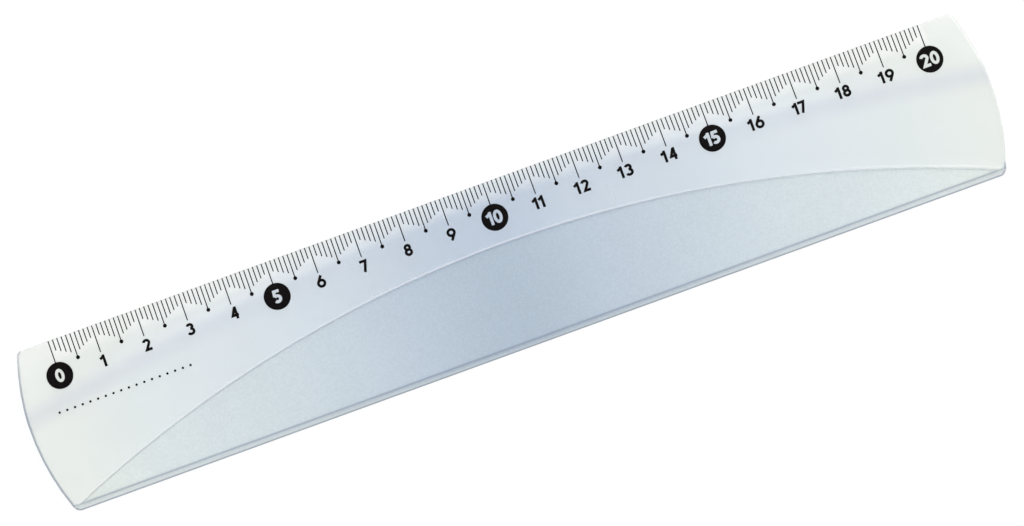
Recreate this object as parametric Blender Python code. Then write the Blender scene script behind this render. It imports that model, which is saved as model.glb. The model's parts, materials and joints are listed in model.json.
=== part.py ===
"""A flexible twenty-centimetre ruler, as a row of plastic spans that bend and twist at hairline slits.

Lengths are in metres. The underside lies on Z = 0, +X runs towards the 20 mark and +Y towards the scale edge.
The real strip is one moulding that flexes all along: each slit stands where two spans hinge in its place.
"""

import math

import bmesh
import bpy
from mathutils import Matrix, Vector

MM = 0.001

# The moulded strip: the scale's length, the plain ends past its first and last mark, width and thickness
SCALE_LENGTH = 200.0 * MM
END_MARGIN = 10.4 * MM
STRIP_WIDTH = 36.7 * MM
STRIP_THICKNESS = 2.4 * MM

# The bowed ends: an arc whose furthest point lies this far in from the scale edge, and the rounded corners
END_BOW_RADIUS = 53.0 * MM
END_BOW_INSET = 17.7 * MM
CORNER_RADIUS = 1.4 * MM

# The bevel thins the strip towards the scale edge, from a crease that arches along the top
SCALE_EDGE_THICKNESS = 0.9 * MM
BEVEL_WIDTH_AT_MIDDLE = 4.2 * MM
BEVEL_CREASE_RADIUS = 630.0 * MM

# The grip: a shallow frosted recess with an arched border, open at the back edge
GRIP_INSET_AT_MIDDLE = 13.6 * MM
GRIP_BORDER_RADIUS = 269.0 * MM
GRIP_RECESS = 0.35 * MM

# The back edge leans in by this much from the underside to the top
BACK_EDGE_LEAN = 1.2 * MM

# The spans, in order along the scale, each named for the mark nearest its middle
SPAN_NAMES = (
    "zero_end",
    "span_at_1cm",
    "span_at_2cm",
    "span_at_4cm",
    "span_at_5cm",
    "span_at_6cm",
    "span_at_7cm",
    "span_at_9cm",
    "middle_span",
    "span_at_11cm",
    "span_at_13cm",
    "span_at_14cm",
    "span_at_15cm",
    "span_at_16cm",
    "span_at_18cm",
    "span_at_19cm",
    "twenty_end",
)

# A slit is just wide enough for two spans to bend this far before their walls meet, with a little to spare
BEND_AT_EACH_SLIT = math.radians(13.0)
SLIT_CLEARANCE = 0.08 * MM

# Colours read from the plastic: greenish white at the ends, grey blue where the middle gathers the light
END_COLOUR = (0.79, 0.84, 0.81)
MIDDLE_COLOUR = (0.44, 0.54, 0.68)
PLASTIC_ROUGHNESS = 0.35

# How finely arcs are faceted, and how far a cutter reaches past what it cuts
LONG_ARC_FACET = 5.0 * MM
END_ARC_FACET = 1.6 * MM
CORNER_STEPS = 5
OVERRUN = 2.0 * MM
WELD_DISTANCE = 0.001 * MM
FLAT_WITHIN = math.radians(0.01)

STRIP_LENGTH = SCALE_LENGTH + 2 * END_MARGIN
SCALE_EDGE_Y = STRIP_WIDTH / 2
BACK_EDGE_Y = -STRIP_WIDTH / 2
END_BOW_Y = SCALE_EDGE_Y - END_BOW_INSET
HINGE_HEIGHT = STRIP_THICKNESS / 2
SPAN_LENGTH = STRIP_LENGTH / len(SPAN_NAMES)
MIDDLE_INDEX = len(SPAN_NAMES) // 2
SLIT_WIDTH = STRIP_THICKNESS * math.tan(BEND_AT_EACH_SLIT / 2) + SLIT_CLEARANCE


def clear_scene():
    """Removes whatever the scene holds."""
    for thing in list(bpy.data.objects):
        bpy.data.objects.remove(thing, do_unlink=True)


def new_collection(name):
    """An empty collection in the scene."""
    collection = bpy.data.collections.new(name)
    bpy.context.scene.collection.children.link(collection)
    return collection


def plastic(name, nearness):
    """Translucent plastic, coloured from the end tint at a nearness of 0 to the middle tint at 1."""
    material = bpy.data.materials.new(name)
    material.use_nodes = True
    shader = material.node_tree.nodes["Principled BSDF"]
    colour = [end + (middle - end) * nearness for end, middle in zip(END_COLOUR, MIDDLE_COLOUR)]
    shader.inputs["Base Color"].default_value = (*colour, 1)
    shader.inputs["Roughness"].default_value = PLASTIC_ROUGHNESS
    shader.inputs["Metallic"].default_value = 0
    return material


def mesh_object(name, mesh, collection):
    """An object for this mesh, in this collection."""
    made = bpy.data.objects.new(name, mesh)
    collection.objects.link(made)
    return made


def make_cutter(cutter):
    """Marks an object as a helper that only shapes others."""
    cutter.hide_render = True
    cutter.display_type = "WIRE"
    return cutter


def steps_for(length, facet):
    """How many facets of about this size a stretch of this length takes."""
    return max(2, math.ceil(length / facet))


def arc(centre, radius, start, end, steps):
    """Points along an arc, from one angle to another, both ends included."""
    angles = [start + (end - start) * step / steps for step in range(steps + 1)]
    return [centre + radius * Vector((math.cos(angle), math.sin(angle))) for angle in angles]


def arch_inset(x, inset_at_middle, radius):
    """How far in from the scale edge an arch lies at x, when it peaks at the ruler's middle."""
    return inset_at_middle + radius - math.sqrt(radius**2 - x**2)


def arch_reach(inset, inset_at_middle, radius):
    """How far from the ruler's middle that arch has fallen to this inset."""
    fall = inset - inset_at_middle
    return math.sqrt(radius**2 - (radius - fall) ** 2)


def plate(name, outline, bottom, top, collection):
    """A flat plate with this outline, made as a filled curve and welded into one closed mesh."""
    curve = bpy.data.curves.new(name, "CURVE")
    curve.dimensions = "2D"
    curve.fill_mode = "BOTH"
    curve.extrude = (top - bottom) / 2
    spline = curve.splines.new("POLY")
    spline.points.add(len(outline) - 1)
    for point, place in zip(spline.points, outline):
        point.co = (place.x, place.y, 0, 1)
    spline.use_cyclic_u = True

    drawn = bpy.data.objects.new(name, curve)
    collection.objects.link(drawn)
    drawn.location.z = (bottom + top) / 2
    bpy.context.view_layer.update()
    evaluated = drawn.evaluated_get(bpy.context.evaluated_depsgraph_get())
    mesh = bpy.data.meshes.new_from_object(evaluated)
    mesh.transform(drawn.matrix_world)
    bpy.data.objects.remove(drawn, do_unlink=True)

    shape = bmesh.new()
    shape.from_mesh(mesh)
    bmesh.ops.remove_doubles(shape, verts=shape.verts, dist=WELD_DISTANCE)
    bmesh.ops.dissolve_limit(shape, angle_limit=FLAT_WITHIN, verts=shape.verts, edges=shape.edges)
    bmesh.ops.recalc_face_normals(shape, faces=shape.faces)
    shape.to_mesh(mesh)
    shape.free()
    return mesh_object(name, mesh, collection)


def loft(name, sections, collection):
    """A closed solid through sections that each have the same number of corners."""
    shape = bmesh.new()
    rings = [[shape.verts.new(corner) for corner in section] for section in sections]
    for ring, next_ring in zip(rings, rings[1:]):
        for corner in range(len(ring)):
            after = (corner + 1) % len(ring)
            shape.faces.new((ring[corner], ring[after], next_ring[after], next_ring[corner]))
    shape.faces.new(rings[0])
    shape.faces.new(rings[-1])
    bmesh.ops.triangulate(shape, faces=shape.faces)
    bmesh.ops.recalc_face_normals(shape, faces=shape.faces)
    mesh = bpy.data.meshes.new(name)
    shape.to_mesh(mesh)
    shape.free()
    return mesh_object(name, mesh, collection)


def block(name, low, high, collection):
    """A box from its lowest to its highest corner."""
    shape = bmesh.new()
    bmesh.ops.create_cube(shape, size=1)
    bmesh.ops.scale(shape, vec=high - low, verts=shape.verts)
    bmesh.ops.translate(shape, vec=(low + high) / 2, verts=shape.verts)
    mesh = bpy.data.meshes.new(name)
    shape.to_mesh(mesh)
    shape.free()
    return mesh_object(name, mesh, collection)


def cut(target, cutter, operation="DIFFERENCE"):
    """Adds a Boolean to the target."""
    modifier = target.modifiers.new(cutter.name, "BOOLEAN")
    modifier.object = cutter
    modifier.operation = operation
    modifier.solver = "EXACT"


def shaped_mesh(target):
    """The target's mesh with its modifiers applied."""
    bpy.context.view_layer.update()
    evaluated = target.evaluated_get(bpy.context.evaluated_depsgraph_get())
    return bpy.data.meshes.new_from_object(evaluated)


def end_outline():
    """The right-hand end of the outline, from the scale edge round the bow to the back edge."""
    bow_centre = Vector((STRIP_LENGTH / 2 - END_BOW_RADIUS, END_BOW_Y))
    to_corner = END_BOW_RADIUS - CORNER_RADIUS

    def corner_centre(edge_y):
        y = edge_y - math.copysign(CORNER_RADIUS, edge_y)
        x = bow_centre.x + math.sqrt(to_corner**2 - (y - bow_centre.y) ** 2)
        return Vector((x, y))

    front_corner = corner_centre(SCALE_EDGE_Y)
    back_corner = corner_centre(BACK_EDGE_Y)
    front_angle = math.asin((front_corner.y - bow_centre.y) / to_corner)
    back_angle = math.asin((back_corner.y - bow_centre.y) / to_corner)
    quarter_turn = math.pi / 2
    bow_steps = steps_for(END_BOW_RADIUS * (front_angle - back_angle), END_ARC_FACET)
    return (
        arc(front_corner, CORNER_RADIUS, quarter_turn, front_angle, CORNER_STEPS)[:-1]
        + arc(bow_centre, END_BOW_RADIUS, front_angle, back_angle, bow_steps)
        + arc(back_corner, CORNER_RADIUS, back_angle, -quarter_turn, CORNER_STEPS)[1:]
    )


def strip_blank(collection):
    """The plain strip: straight long edges, bowed ends and rounded corners, at full thickness."""
    right = end_outline()
    left = [Vector((-point.x, point.y)) for point in reversed(right)]
    return plate("strip_blank", right + left, 0, STRIP_THICKNESS, collection)


def bevel_cutter(collection):
    """What the bevel takes away: a ruled slope from the straight scale edge up to the arched crease."""
    reach = STRIP_LENGTH / 2 + OVERRUN
    steps = steps_for(2 * reach, LONG_ARC_FACET)
    drop = STRIP_THICKNESS - SCALE_EDGE_THICKNESS
    top = STRIP_THICKNESS + OVERRUN
    sections = []
    for step in range(steps + 1):
        x = reach * (2 * step / steps - 1)
        width = arch_inset(x, BEVEL_WIDTH_AT_MIDDLE, BEVEL_CREASE_RADIUS)
        crease_y = SCALE_EDGE_Y - width
        above_crease = Vector((x, crease_y - OVERRUN * width / drop, top))
        past_edge = Vector((x, SCALE_EDGE_Y + OVERRUN, SCALE_EDGE_THICKNESS - OVERRUN * drop / width))
        above_edge = Vector((x, SCALE_EDGE_Y + OVERRUN, top))
        sections.append((above_crease, past_edge, above_edge))
    return make_cutter(loft("bevel_cutter", sections, collection))


def grip_cutter(collection):
    """What the grip recess takes away: a flat segment under an arched border, open past the back edge."""
    past_back = STRIP_WIDTH + OVERRUN
    reach = arch_reach(past_back, GRIP_INSET_AT_MIDDLE, GRIP_BORDER_RADIUS)
    half_angle = math.asin(reach / GRIP_BORDER_RADIUS)
    centre = Vector((0, SCALE_EDGE_Y - GRIP_INSET_AT_MIDDLE - GRIP_BORDER_RADIUS))
    steps = steps_for(2 * GRIP_BORDER_RADIUS * half_angle, LONG_ARC_FACET)
    quarter_turn = math.pi / 2
    border = arc(centre, GRIP_BORDER_RADIUS, quarter_turn + half_angle, quarter_turn - half_angle, steps)
    floor = STRIP_THICKNESS - GRIP_RECESS
    return make_cutter(plate("grip_cutter", border, floor, STRIP_THICKNESS + OVERRUN, collection))


def back_edge_cutter(collection):
    """What the leaning back edge takes away: a wedge that grows from nothing at the underside."""
    lean = BACK_EDGE_LEAN / STRIP_THICKNESS
    below = -OVERRUN
    above = STRIP_THICKNESS + OVERRUN
    outside = BACK_EDGE_Y - OVERRUN
    reach = STRIP_LENGTH / 2 + OVERRUN
    sections = []
    for x in (-reach, reach):
        bottom_inner = Vector((x, BACK_EDGE_Y + below * lean, below))
        top_inner = Vector((x, BACK_EDGE_Y + above * lean, above))
        bottom_outer = Vector((x, outside + below * lean, below))
        top_outer = Vector((x, outside + below * lean, above))
        sections.append((bottom_inner, top_inner, top_outer, bottom_outer))
    return make_cutter(loft("back_edge_cutter", sections, collection))


def moulded_strip(collection):
    """The whole strip in one piece, as it leaves the mould."""
    blank = strip_blank(collection)
    cut(blank, back_edge_cutter(collection))
    cut(blank, bevel_cutter(collection))
    cut(blank, grip_cutter(collection))
    mesh = shaped_mesh(blank)
    bpy.data.objects.remove(blank, do_unlink=True)
    return mesh


def slit_x(index):
    """Where the slit on the zero side of this span lies."""
    return index * SPAN_LENGTH - STRIP_LENGTH / 2


def hinge_of(index):
    """The point that a span turns about: its slit on the side towards the middle, at half the thickness."""
    if index == MIDDLE_INDEX:
        return Vector((0, 0, 0))
    inner_slit = index if index > MIDDLE_INDEX else index + 1
    return Vector((slit_x(inner_slit), 0, HINGE_HEIGHT))


def span_window(index, collection):
    """The stretch of the strip that one span keeps, up to the slits on either side."""
    last = len(SPAN_NAMES) - 1
    start = slit_x(index) + (SLIT_WIDTH / 2 if index > 0 else -OVERRUN)
    end = slit_x(index + 1) + (-SLIT_WIDTH / 2 if index < last else OVERRUN)
    low = Vector((start, BACK_EDGE_Y - OVERRUN, -OVERRUN))
    high = Vector((end, SCALE_EDGE_Y + OVERRUN, STRIP_THICKNESS + OVERRUN))
    return make_cutter(block(SPAN_NAMES[index] + "_window", low, high, collection))


def span(index, strip, parts, cutters):
    """One span of the strip, with its origin on its hinge."""
    name = SPAN_NAMES[index]
    mesh = strip.copy()
    mesh.name = name
    mesh.transform(Matrix.Translation(-hinge_of(index)))
    made = mesh_object(name, mesh, parts)
    nearness = 1 - abs(index - MIDDLE_INDEX) / MIDDLE_INDEX
    mesh.materials.clear()
    mesh.materials.append(plastic(name + "_plastic", nearness))
    cut(made, span_window(index, cutters), "INTERSECT")
    return made


def hang_on_neighbour(spans, index):
    """Parents a span to the next one towards the middle, so that turning one carries all those beyond it."""
    if index == MIDDLE_INDEX:
        spans[index].location = hinge_of(index)
        return
    inner = index - 1 if index > MIDDLE_INDEX else index + 1
    spans[index].parent = spans[inner]
    spans[index].location = hinge_of(index) - hinge_of(inner)


def main():
    clear_scene()
    parts = new_collection("flexible_ruler")
    cutters = new_collection("cutters")
    strip = moulded_strip(cutters)
    spans = [span(index, strip, parts, cutters) for index in range(len(SPAN_NAMES))]
    for index in range(len(SPAN_NAMES)):
        hang_on_neighbour(spans, index)
    bpy.context.view_layer.update()


main()
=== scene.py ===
"""A flexible twenty-centimetre ruler: one clear moulding with a printed scale, lying on a white table.

Lengths are in metres. The underside lies on Z = 0, +X runs towards the 20 mark and +Y to the scale edge.
"""

import json
import math

import bmesh
import bpy
from mathutils import Matrix, Vector
from mathutils.bvhtree import BVHTree
from mathutils.geometry import delaunay_2d_cdt


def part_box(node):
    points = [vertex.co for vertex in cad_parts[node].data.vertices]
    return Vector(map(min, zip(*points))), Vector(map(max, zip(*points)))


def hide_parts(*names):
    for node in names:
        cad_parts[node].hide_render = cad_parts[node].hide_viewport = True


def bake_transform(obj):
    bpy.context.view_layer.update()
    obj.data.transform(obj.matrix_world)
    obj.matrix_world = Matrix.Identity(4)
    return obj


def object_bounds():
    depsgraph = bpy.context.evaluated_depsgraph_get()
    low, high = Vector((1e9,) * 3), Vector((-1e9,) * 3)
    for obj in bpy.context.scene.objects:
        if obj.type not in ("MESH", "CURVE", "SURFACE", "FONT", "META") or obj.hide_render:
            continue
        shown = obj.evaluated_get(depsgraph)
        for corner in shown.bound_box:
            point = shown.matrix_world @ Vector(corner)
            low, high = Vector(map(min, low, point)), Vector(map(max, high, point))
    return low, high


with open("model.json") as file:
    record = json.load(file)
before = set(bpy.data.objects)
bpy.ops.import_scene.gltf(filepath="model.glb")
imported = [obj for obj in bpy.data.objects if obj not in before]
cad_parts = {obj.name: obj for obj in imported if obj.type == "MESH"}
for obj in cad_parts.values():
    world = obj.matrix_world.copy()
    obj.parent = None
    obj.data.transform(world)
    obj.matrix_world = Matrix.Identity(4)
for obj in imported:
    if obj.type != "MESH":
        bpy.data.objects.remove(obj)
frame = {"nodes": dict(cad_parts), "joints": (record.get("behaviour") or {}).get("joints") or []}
cad_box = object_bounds()

# The strip: one injection moulding of soft, clear plastic with a blue-grey tint. Its ends are bowed, a bevel
# thins it towards the scale edge, and the grip is a frosted recess under an arched border. It is made in
# closed stretches that meet where a span of the frame is stiff, one about each hinge.
MM = 0.001
LOW, HIGH = cad_box
LENGTH = HIGH.x - LOW.x
THICKNESS = HIGH.z - LOW.z
# The photograph has each long edge this much further out than the solids
LONG_EDGE_OVER = 0.12 * MM
EDGE_Y = HIGH.y + LONG_EDGE_OVER
WIDTH = 2 * EDGE_Y
END_BOW_RADIUS = 53.0 * MM
END_BOW_INSET = 17.54 * MM
CORNER_RADIUS = 1.4 * MM
SCALE_EDGE_THICKNESS = 0.9 * MM
CREASE_INSET = 4.39 * MM
CREASE_RADIUS = 630.0 * MM
CREASE_SOFTNESS = 0.2 * MM
BORDER_INSET = 13.79 * MM
BORDER_RADIUS = 269.0 * MM
BORDER_STEP = 0.35 * MM
BORDER_STEP_RUN = 0.35 * MM
BEAD_HEIGHT = 0.05 * MM
BEAD_WIDTH = 0.7 * MM
BACK_LEAN = 1.25 * MM
BACK_SOFTNESS = 0.3 * MM
END_ROUNDING = 0.4 * MM
SCALE_EDGE_ROUNDING = 0.1 * MM
UNDER_ROUNDING = 0.12 * MM

BOW_CENTRE = Vector((HIGH.x - END_BOW_RADIUS, EDGE_Y - END_BOW_INSET))
BORDER_CENTRE_Y = EDGE_Y - BORDER_INSET - BORDER_RADIUS


def corner_centre(edge_y):
    """The centre of the rounded corner next to this long edge, at the ruler's positive end."""
    y = edge_y - math.copysign(CORNER_RADIUS, edge_y)
    reach = END_BOW_RADIUS - CORNER_RADIUS
    return Vector((BOW_CENTRE.x + math.sqrt(reach**2 - (y - BOW_CENTRE.y) ** 2), y))


FRONT_CORNER = corner_centre(EDGE_Y)
BACK_CORNER = corner_centre(-EDGE_Y)


def end_reach(y):
    """How far from the middle the outline's end lies at this y."""
    for corner in (FRONT_CORNER, BACK_CORNER):
        across = y - corner.y
        bow_side = (corner.x - BOW_CENTRE.x, corner.y - BOW_CENTRE.y)
        arc_start = CORNER_RADIUS * abs(bow_side[1]) / math.hypot(*bow_side)
        if across * corner.y > 0 and abs(across) >= arc_start:
            return corner.x + math.sqrt(max(CORNER_RADIUS**2 - across**2, 0))
    return BOW_CENTRE.x + math.sqrt(END_BOW_RADIUS**2 - (y - BOW_CENTRE.y) ** 2)


def crease_inset(x):
    """How far in from the scale edge the crease lies."""
    return CREASE_INSET + CREASE_RADIUS - math.sqrt(CREASE_RADIUS**2 - x**2)


def border_y(x, inside):
    """Where the line at this distance inside the grip's border lies."""
    return BORDER_CENTRE_Y + math.sqrt((BORDER_RADIUS - inside) ** 2 - x**2)


def inside_border(x, y):
    """How far a point lies inside the grip's border, negative outside it."""
    return BORDER_RADIUS - math.hypot(x, y - BORDER_CENTRE_Y)


def end_distance(x, y):
    """How far a point is from the end's outline, and how far round its corner that is.

    The second goes from 0 at a long edge to 1 at the bow.
    """
    x = abs(x)
    for corner in (FRONT_CORNER, BACK_CORNER):
        from_corner = Vector((x, y)) - corner
        bow_side = corner - BOW_CENTRE
        outwards = math.copysign(1, corner.y)
        if from_corner.x >= 0 and from_corner.y * outwards >= 0:
            turn = math.atan2(from_corner.x, from_corner.y * outwards) if from_corner.length > 0 else 0
            full = math.atan2(bow_side.x, bow_side.y * outwards)
            if turn <= full:
                return CORNER_RADIUS - from_corner.length, turn / full
    if x < BOW_CENTRE.x:
        return LENGTH, 1
    return END_BOW_RADIUS - (Vector((x, y)) - BOW_CENTRE).length, 1


def from_end(place, side):
    """How far a point is from the end on this side. In the other half it is the ruler's whole length."""
    return end_distance(place.x, place.y)[0] if place.x * side > 0 else LENGTH


def smooth_min(a, b, softness):
    """The smaller of two heights, with the corner where they cross rounded off."""
    overlap = max(softness - abs(a - b), 0) / softness
    return min(a, b) - overlap**2 * softness / 4


def soft_step(rise, share):
    """How much of a rise is reached at this share of its run, with a soft start and a soft end."""
    return rise * share**2 * (3 - 2 * share)


def rounding(distance, radius):
    """How much a rounded arris of this radius drops at this distance from the outline."""
    if radius <= 0 or distance >= radius:
        return 0
    return radius - math.sqrt(radius**2 - (radius - max(distance, 0)) ** 2)


def top_height(x, y):
    """The height of the top face."""
    inset = EDGE_Y - y
    bevel = SCALE_EDGE_THICKNESS + (THICKNESS - SCALE_EDGE_THICKNESS) * inset / crease_inset(x)
    height = smooth_min(bevel, THICKNESS, CREASE_SOFTNESS)
    inside = inside_border(x, y)
    bead = max(1 - abs(inside + BEAD_WIDTH / 2) / (BEAD_WIDTH / 2), 0)
    height += soft_step(BEAD_HEIGHT, bead)
    height -= soft_step(BORDER_STEP, min(max(inside / BORDER_STEP_RUN, 0), 1))
    back = (WIDTH - inset) * THICKNESS / BACK_LEAN
    height = smooth_min(height, back, BACK_SOFTNESS)
    distance, share = end_distance(x, y)
    radius = SCALE_EDGE_ROUNDING + (END_ROUNDING - SCALE_EDGE_ROUNDING) * share
    if y < 0:
        radius = END_ROUNDING * share
    height -= max(rounding(inset, SCALE_EDGE_ROUNDING), rounding(distance, radius))
    return max(height, UNDER_ROUNDING)


def under_height(x, y):
    """The height of the underside, flat but for its rounded arris."""
    inset = EDGE_Y - y
    distance, share = end_distance(x, y)
    return rounding(min(inset, WIDTH - inset, distance), UNDER_ROUNDING)


# The grid that the strip is made on. Its columns run across the ruler, and its rows run along it and settle
# onto the crease and the grip's border. A column close to each rounded rim keeps the face beside it flat.
COLUMNS_A_STRETCH = 10
COLUMNS_AT_AN_END = 15
BESIDE_THE_RIM = 1.3 * END_ROUNDING
BACK_BAND = 1.5 * MM
SETTLING_STEPS = 8
WELD_DISTANCE = 0.001 * MM
SHARP_ABOVE = math.radians(40.0)


def arris_insets(radius, angles):
    """How far inside the outline the points of a rounded arris lie, at these angles round it in degrees."""
    return [radius * (1 - math.sin(math.radians(angle))) for angle in angles]


RIM_STEPS = [BESIDE_THE_RIM] + arris_insets(END_ROUNDING, (0, 12, 26, 42, 60, 76, 90))
FRONT_ROWS = arris_insets(SCALE_EDGE_ROUNDING, (90, 68, 45, 22, 0))
CORNER_ROWS = [CORNER_RADIUS * share for share in (0.25, 0.42, 0.68, 1.0)]
BACK_SHARES = (1, 0.92, 0.85, 0.79, 0.73, 0.68, 0.6, 0.44, 0.28, 0.14, 0.06, 0.02, 0)
BACK_ROWS = [WIDTH - BACK_BAND * share for share in BACK_SHARES]
ROWS = (
    [("set", inset) for inset in FRONT_ROWS + CORNER_ROWS]
    + [("bevel", share) for share in (0.33, 0.67)]
    + [("crease", share) for share in (-1, -0.66, -0.33, 0, 0.33, 0.66, 1)]
    + [("body", share) for share in (0.2, 0.4, 0.6, 0.8)]
    + [("border", BEAD_WIDTH * share) for share in (-1, -0.83, -0.67, -0.5, -0.33, -0.17, 0)]
    + [("border", BORDER_STEP_RUN * share) for share in (0.2, 0.4, 0.6, 0.8, 1)]
    + [("grip", share) for share in (0.05, 0.25, 0.5, 0.75)]
    + [("set", inset) for inset in BACK_ROWS]
)


def row_inset(kind, value, x):
    """How far in from the scale edge a row of the grid lies."""
    crease = crease_inset(x)
    soft_run = CREASE_SOFTNESS * crease / (THICKNESS - SCALE_EDGE_THICKNESS)
    before_border = EDGE_Y - border_y(x, -BEAD_WIDTH)
    past_border = EDGE_Y - border_y(x, BORDER_STEP_RUN)
    if kind == "bevel":
        inset = CORNER_RADIUS + (crease - soft_run - CORNER_RADIUS) * value
    elif kind == "crease":
        inset = crease + soft_run * value
    elif kind == "body":
        inset = crease + soft_run + (before_border - crease - soft_run) * value
    elif kind == "border":
        inset = EDGE_Y - border_y(x, value)
    elif kind == "grip":
        inset = past_border + (WIDTH - BACK_BAND - past_border) * value
    else:
        return value
    return min(inset, WIDTH - BACK_BAND)


def straight_column(x):
    """A column that runs straight across the ruler."""
    return lambda y: x


def rim_column(side, inset):
    """A column that follows the outline of the end on this side, this far inside it."""
    return lambda y: side * (end_reach(y) - inset)


def end_column(seam_x, side, share):
    """A column this share of the way from a straight seam to the rim of the end on this side."""
    rim = rim_column(side, BESIDE_THE_RIM)
    return lambda y: seam_x + (rim(y) - seam_x) * share


def grid_place(column, row):
    """Where a column and a row of the grid cross, seen from above."""
    y = EDGE_Y - row_inset(*row, column(0))
    for step in range(SETTLING_STEPS):
        y = EDGE_Y - row_inset(*row, column(y))
    return column(y), y


def mesh_of(name, shape):
    """A mesh of this shape, which is used up."""
    mesh = bpy.data.meshes.new(name)
    shape.to_mesh(mesh)
    shape.free()
    return mesh


def add_to_scene(name, data):
    """A new object in the scene, from this mesh, lamp or camera."""
    made = bpy.data.objects.new(name, data)
    bpy.context.scene.collection.objects.link(made)
    return made


def keep_measure(mesh, name, values):
    """Stores one number at every point of a mesh, for its material to read."""
    mesh.attributes.new(name, "FLOAT", "POINT").data.foreach_set("value", values)


def keep_place(mesh):
    """Stores where every point lies on the flat ruler, so that a pattern stays put on a piece that bends."""
    flat = [value for vertex in mesh.vertices for value in vertex.co]
    mesh.attributes.new("place", "FLOAT_VECTOR", "POINT").data.foreach_set("vector", flat)


def strip_stretch(name, columns, seam_columns):
    """A closed stretch of the moulding over these columns, whose cut faces lie at the seam columns."""
    shape = bmesh.new()
    top, under = [], []
    for column in columns:
        places = [grid_place(column, row) for row in ROWS]
        top.append([shape.verts.new((x, y, top_height(x, y))) for x, y in places])
        under.append([shape.verts.new((x, y, under_height(x, y))) for x, y in places])
    last_row = len(ROWS) - 1
    for index in range(len(columns) - 1):
        for row in range(last_row):
            here, there = top[index], top[index + 1]
            shape.faces.new((here[row], here[row + 1], there[row + 1], there[row]))
            here, there = under[index], under[index + 1]
            shape.faces.new((here[row], there[row], there[row + 1], here[row + 1]))
        for row in (0, last_row):
            corners = (top[index][row], top[index + 1][row], under[index + 1][row], under[index][row])
            shape.faces.new(corners)
    for index in (0, len(columns) - 1):
        for row in range(last_row):
            corners = (top[index][row], top[index][row + 1], under[index][row + 1], under[index][row])
            face = shape.faces.new(corners)
            # The second material is the open seam's
            face.material_index = 1 if index in seam_columns else 0
    bmesh.ops.remove_doubles(shape, verts=shape.verts, dist=WELD_DISTANCE)
    bmesh.ops.recalc_face_normals(shape, faces=shape.faces)
    mesh = mesh_of(name, shape)

    places = [vertex.co.copy() for vertex in mesh.vertices]
    keep_place(mesh)
    keep_measure(mesh, "plastic_depth", [top_height(place.x, place.y) / THICKNESS for place in places])
    keep_measure(mesh, "from_zero_end", [from_end(place, -1) for place in places])
    keep_measure(mesh, "from_twenty_end", [from_end(place, 1) for place in places])
    mesh.shade_smooth()
    mesh.set_sharp_from_angle(angle=SHARP_ABOVE)
    return add_to_scene(name, mesh)


# What the plastic's colour follows: how much darker and bluer it is drawn along the ruler, from the zero end
# to the other, and the colours that it goes through with depth.
DARKENING_ALONG = (
    (0, 0.08),
    (0.12, 0.31),
    (0.27, 0.48),
    (0.37, 0.72),
    (0.45, 0.97),
    (0.505, 1.0),
    (0.57, 0.83),
    (0.73, 0.47),
    (0.87, 0.34),
    (1, 0.11),
)
TINT = (
    (0, "#F5F6F3"),
    (0.15, "#E8ECE8"),
    (0.4, "#DEE5E9"),
    (0.65, "#D2DBE3"),
    (1.0, "#C3CEDC"),
    (1.35, "#B4C2D1"),
)
DEEPEST = TINT[-1][0]
FROST_DEEPENS = 1.45
FROST_TINT = "#FAFBF9"
# The colours of the painted shade past the crease, the painted light on the leaning back face, and the
# painted shade and painted highlights along the folds, arrises and outlines
CREASE_SHADE_COLOUR = "#C9CCDB"
BACK_FACE_LIGHT_COLOUR = "#EDF3FC"
PAINTED_SHADE_COLOUR = "#6F7E95"
PAINTED_HIGHLIGHT_COLOUR = "#FFFFFF"

# Where painted shade or a painted highlight runs as a line along a fold, arris or outline: how far its
# middle lies past what it follows, and half its width.
CREASE_SHADE_LINE = (0.9 * MM, 3.8 * MM)
CREASE_GLEAM_LINE = (-1.4 * MM, 2.0 * MM)
BEAD_LINE = (-0.22 * MM, 0.32 * MM)
BORDER_LINE = (0.17 * MM, 0.37 * MM)
BACK_ARRIS_LINE = (1.39 * MM, 0.36 * MM)
BACK_OUTLINE_LINE = (0.12 * MM, 0.4 * MM)
END_OUTLINE_LINE = (0.1 * MM, 0.6 * MM)
LIT_EDGE_LINE = (0, 0.7 * MM)

# How strongly each painted shade or highlight shows: one value, or a run from one place to another, as
# (start, end, value at the start, value at the end).
CREASE_BAND_SHADE = (20 * MM, 100 * MM, 0.07, 0.32)
CREASE_GLEAM = (50 * MM, 100 * MM, 0.2, 0)
BEAD_GLEAM = (0, 60 * MM, 0.36, 0.18)
BORDER_SHADE = (0, 50 * MM, 0.43, 0.36)
BACK_ARRIS_SHADE = 0.65
BACK_FACE_ACROSS = (0.95 * MM, 1.35 * MM, 1, 0)
BACK_FACE_PAINTED_LIGHT = (20 * MM, 100 * MM, 0, 0.3)
BACK_FACE_SHADE = (20 * MM, 100 * MM, 0.05, 0)
BACK_OUTLINE_SHADE = 0.83
ZERO_END_SHADE = (0.7 * MM, 9.2 * MM, 0.45, 0.87)
TWENTY_END_SHADE = (1.9 * MM, 3.1 * MM, 0.8, 0)
TWENTY_END_GLEAM = 0.12
SCALE_EDGE_GLEAM = 0.35
MARKS_GLEAM = (0, 100 * MM, 0.2, 0.5)
MARKS_GLEAM_ACROSS = (2.4 * MM, 5.4 * MM, 1, 0)
MARKS_GLEAM_ALONG = (100 * MM, 101.2 * MM, 1, 0)

# The frost's real grit is about a tenth of a millimetre. It is drawn as coarse as it needs to be to show.
# The mould's flow leaves broad, faint clouds. Each range is the part of the noise that gives the full shade.
GRAIN_SIZE = 0.45 * MM
GRAIN_DETAIL = 2
GRAIN_RANGE = (0.35, 0.65)
GRAIN_SHADE = 0.05
GRAIN_HEIGHT = 0.02 * MM
FLOW_SIZE = 25 * MM
FLOW_DETAIL = 1
FLOW_RANGE = (0.3, 0.7)
FLOW_SHADE = 0.01

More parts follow.
